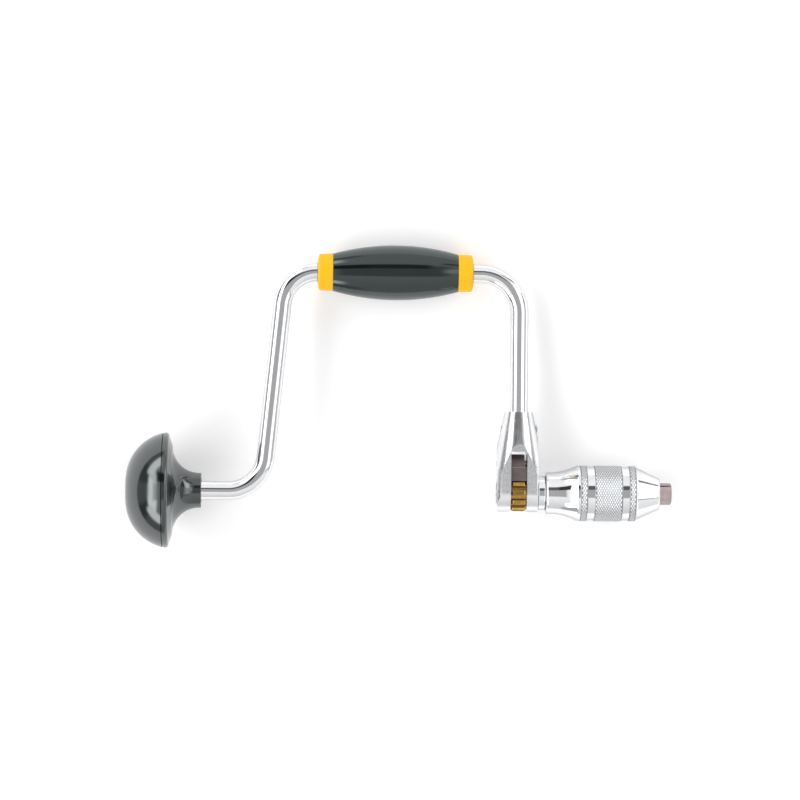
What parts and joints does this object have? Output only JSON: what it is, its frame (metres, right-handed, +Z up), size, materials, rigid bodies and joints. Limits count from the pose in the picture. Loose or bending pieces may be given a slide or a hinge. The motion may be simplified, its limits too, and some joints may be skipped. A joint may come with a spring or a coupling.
{
  "type": "bit brace",
  "caption": "Hand bit brace with a cranked steel frame, turning head and grip, box ratchet with selector ring, and a two-jaw screw chuck.",
  "frame": {"origin": "the mouth of the closed chuck, on the tool axis", "axes": "+X along the tool axis towards the bit, +Y from the tool axis to the grip, +Z up out of the crank's plane as the brace lies flat"},
  "size_m": [0.3737, 0.2083, 0.079],
  "materials": {
    "plated_steel": "bright nickel-chrome plating",
    "plated_casting": "satin chrome plating over a blasted casting",
    "bare_steel": "turned and oiled",
    "bearing_steel": "polished",
    "spring_steel": "drawn",
    "browned_steel": "brown oxide, fine grain",
    "jaw_steel": "bronzed, fine turned",
    "gold_steel": "yellow passivated",
    "bronze": "sintered",
    "black_plastic": "glossy moulding",
    "yellow_plastic": "matt moulding"
  },
  "bodies": {
    "frame": {"crank_rod": "plated_steel", "arm_pin": "bare_steel", "ratchet_box": "plated_casting", "left_bush": "bronze", "pawl_pin_front": "bare_steel", "pawl_pin_back": "bare_steel", "inner_race": "bearing_steel", "head_clip": "spring_steel", "friction_washer": "spring_steel"},
    "head": {"head_cap": "black_plastic", "head_base": "black_plastic", "neck_bush": "bronze", "outer_race": "bearing_steel"},
    "cage": {"thrust_cage": "bronze", "thrust_balls": "bearing_steel"},
    "grip": {"grip_front": "black_plastic", "grip_back": "black_plastic", "collar_left": "yellow_plastic", "collar_right": "yellow_plastic"},
    "pawl_front": {"pawl_front": "browned_steel"},
    "pawl_back": {"pawl_back": "browned_steel"},
    "pawl_spring": {"pawl_spring": "spring_steel"},
    "selector": {"cam_sleeve": "bare_steel", "selector_ring": "plated_steel"},
    "spindle": {"spindle": "bare_steel", "ratchet_wheel": "gold_steel", "wheel_key": "bare_steel", "tail_washer": "bare_steel", "tail_screw": "bare_steel", "jaw_spring": "spring_steel"},
    "cone": {"closing_cone": "bare_steel"},
    "cone_balls": {"cone_balls": "bearing_steel"},
    "shell": {"chuck_shell": "plated_steel", "chuck_nose": "plated_steel", "cone_clip": "spring_steel"},
    "jaw_a": {"jaw_a": "jaw_steel"},
    "jaw_b": {"jaw_b": "jaw_steel"}
  },
  "joints": [
    {"name": "head_spin", "type": "hinge", "parent": "frame", "child": "head", "pos_m": [-0.345, 0, 0], "axis": [1, 0, 0], "continuous": true},
    {"name": "cage_spin", "type": "hinge", "parent": "frame", "child": "cage", "pos_m": [-0.3552, 0, 0], "axis": [1, 0, 0], "continuous": true},
    {"name": "grip_spin", "type": "hinge", "parent": "frame", "child": "grip", "pos_m": [-0.19, 0.15, 0], "axis": [1, 0, 0], "continuous": true},
    {"name": "selector_turn", "type": "hinge", "parent": "frame", "child": "selector", "pos_m": [-0.0891, 0, 0], "axis": [1, 0, 0], "range_deg": [-25, 25]},
    {"name": "pawl_front_swing", "type": "hinge", "parent": "frame", "child": "pawl_front", "pos_m": [-0.1051, 0.02, 0.0032], "axis": [1, 0, 0], "range_deg": [-6, 6]},
    {"name": "pawl_back_swing", "type": "hinge", "parent": "frame", "child": "pawl_back", "pos_m": [-0.1051, 0.02, -0.0032], "axis": [1, 0, 0], "range_deg": [-6, 6]},
    {"name": "pawl_spring_shift", "type": "slide", "parent": "frame", "child": "pawl_spring", "axis": [0, 0, 1], "range_m": [-0.0004818, 0.0004818]},
    {"name": "spindle_spin", "type": "hinge", "parent": "frame", "child": "spindle", "pos_m": [-0.1, 0, 0], "axis": [1, 0, 0], "continuous": true},
    {"name": "cone_slide", "type": "slide", "parent": "spindle", "child": "cone", "axis": [1, 0, 0], "range_m": [0, 0.0045]},
    {"name": "shell_turn", "type": "hinge", "parent": "cone", "child": "shell", "pos_m": [-0.045, 0, 0], "axis": [1, 0, 0], "range_deg": [0, 720.01]},
    {"name": "cone_balls_roll", "type": "hinge", "parent": "cone", "child": "cone_balls", "pos_m": [-0.022, 0, 0], "axis": [1, 0, 0], "range_deg": [0, 360.01]},
    {"name": "jaw_a_tilt", "type": "hinge", "parent": "spindle", "child": "jaw_a", "pos_m": [-0.054, 0.00223, -0.00201], "axis": [0, 0.6691, 0.7431], "range_deg": [0, 2.12]},
    {"name": "jaw_b_tilt", "type": "hinge", "parent": "spindle", "child": "jaw_b", "pos_m": [-0.054, -0.00223, 0.00201], "axis": [0, -0.6691, -0.7431], "range_deg": [0, 2.12]}
  ],
  "couplings": [
    {"joint": "cage_spin", "follows": "head_spin", "ratio": 0.5},
    {"joint": "pawl_front_swing", "follows": "selector_turn", "ratio": -0.24},
    {"joint": "pawl_back_swing", "follows": "selector_turn", "ratio": -0.24},
    {"joint": "pawl_spring_shift", "follows": "selector_turn", "m_per_rad": -0.001104},
    {"joint": "shell_turn", "follows": "cone_slide", "rad_per_m": 2792.5},
    {"joint": "cone_balls_roll", "follows": "cone_slide", "rad_per_m": 1396.3},
    {"joint": "jaw_a_tilt", "follows": "cone_slide", "rad_per_m": 8.2222},
    {"joint": "jaw_b_tilt", "follows": "cone_slide", "rad_per_m": 8.2222}
  ]
}
